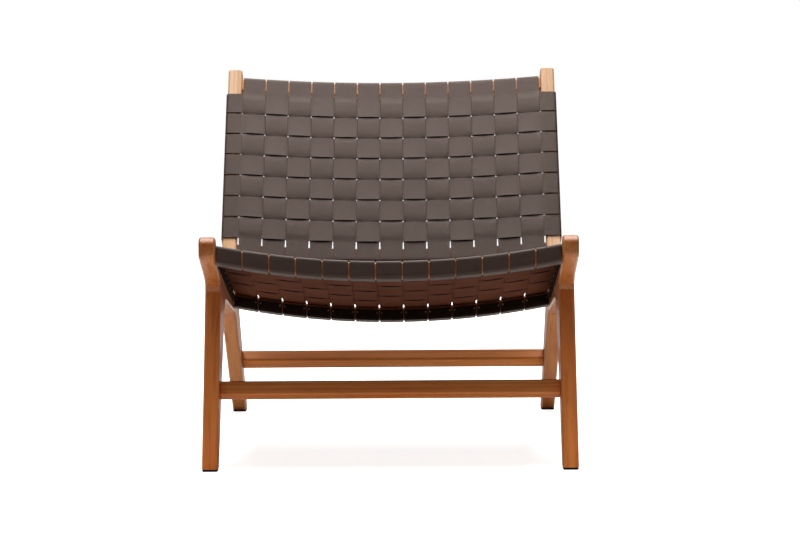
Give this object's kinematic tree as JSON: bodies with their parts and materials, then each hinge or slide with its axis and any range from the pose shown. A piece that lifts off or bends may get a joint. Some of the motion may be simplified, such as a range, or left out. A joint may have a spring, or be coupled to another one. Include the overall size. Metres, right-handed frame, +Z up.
{
  "type": "lounge chair",
  "caption": "Low armless lounge chair: an oiled wood frame with splayed legs and a bowed, reclined seat and back woven from wide dark leather straps.",
  "frame": {"origin": "on the floor, under the middle of the chair", "axes": "+X to the right as seen from the front, +Y to the rear, +Z up; the sitter faces -Y"},
  "size_m": [0.655, 0.7526, 0.6881],
  "materials": {
    "frame": "oiled, satin",
    "leather": "smooth, semi-matt, with raw undersides",
    "rubber": "matt"
  },
  "bodies": {
    "root": {"back_bottom_rail": "frame", "back_cross_strap_1": "leather", "back_cross_strap_2": "leather", "back_cross_strap_3": "leather", "back_cross_strap_4": "leather", "back_cross_strap_5": "leather", "back_cross_strap_6": "leather", "back_cross_strap_7": "leather", "back_post_left": "frame", "back_post_right": "frame", "back_strap_1": "leather", "back_strap_10": "leather", "back_strap_11": "leather", "back_strap_12": "leather", "back_strap_13": "leather", "back_strap_2": "leather", "back_strap_3": "leather", "back_strap_4": "leather", "back_strap_5": "leather", "back_strap_6": "leather", "back_strap_7": "leather", "back_strap_8": "leather", "back_strap_9": "leather", "back_top_rail": "frame", "foot_pad_front_left": "rubber", "foot_pad_front_right": "rubber", "foot_pad_rear_left": "rubber", "foot_pad_rear_right": "rubber", "front_leg_left": "frame", "front_leg_right": "frame", "front_stretcher": "frame", "rear_leg_left": "frame", "rear_leg_right": "frame", "rear_stretcher": "frame", "seat_cross_strap_1": "leather", "seat_cross_strap_2": "leather", "seat_cross_strap_3": "leather", "seat_cross_strap_4": "leather", "seat_cross_strap_5": "leather", "seat_cross_strap_6": "leather", "seat_cross_strap_7": "leather", "seat_cross_strap_8": "leather", "seat_front_rail": "frame", "seat_rear_rail": "frame", "seat_side_rail_left": "frame", "seat_side_rail_right": "frame", "seat_strap_1": "leather", "seat_strap_10": "leather", "seat_strap_11": "leather", "seat_strap_12": "leather", "seat_strap_13": "leather", "seat_strap_2": "leather", "seat_strap_3": "leather", "seat_strap_4": "leather", "seat_strap_5": "leather", "seat_strap_6": "leather", "seat_strap_7": "leather", "seat_strap_8": "leather", "seat_strap_9": "leather"}
  },
  "joints": []
}
